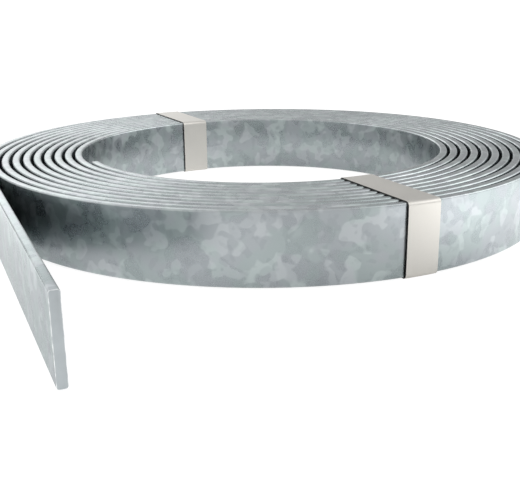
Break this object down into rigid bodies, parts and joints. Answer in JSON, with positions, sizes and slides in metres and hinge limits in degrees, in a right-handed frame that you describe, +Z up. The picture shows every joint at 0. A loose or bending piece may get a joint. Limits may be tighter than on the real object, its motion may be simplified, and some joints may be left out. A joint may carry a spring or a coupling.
{
  "type": "steel strip coil",
  "caption": "Coil of flat galvanised steel strip with rounded edges, wound in an open spiral, held by flat straps round its section, with a straight free tail to unwind it by.",
  "frame": {"origin": "on the coil's axis, at the level of the floor that the straps lie on", "axes": "+Z up along the coil's axis; the free tail points towards -Y, the way the picture is taken from"},
  "size_m": [0.2809, 0.3601, 0.031],
  "materials": {
    "galvanised_steel": "hot-dip galvanised, spangled",
    "strap_band": "satin"
  },
  "bodies": {
    "root": {"steel_strip": "galvanised_steel", "front_strap": "strap_band", "back_strap": "strap_band"}
  },
  "joints": []
}
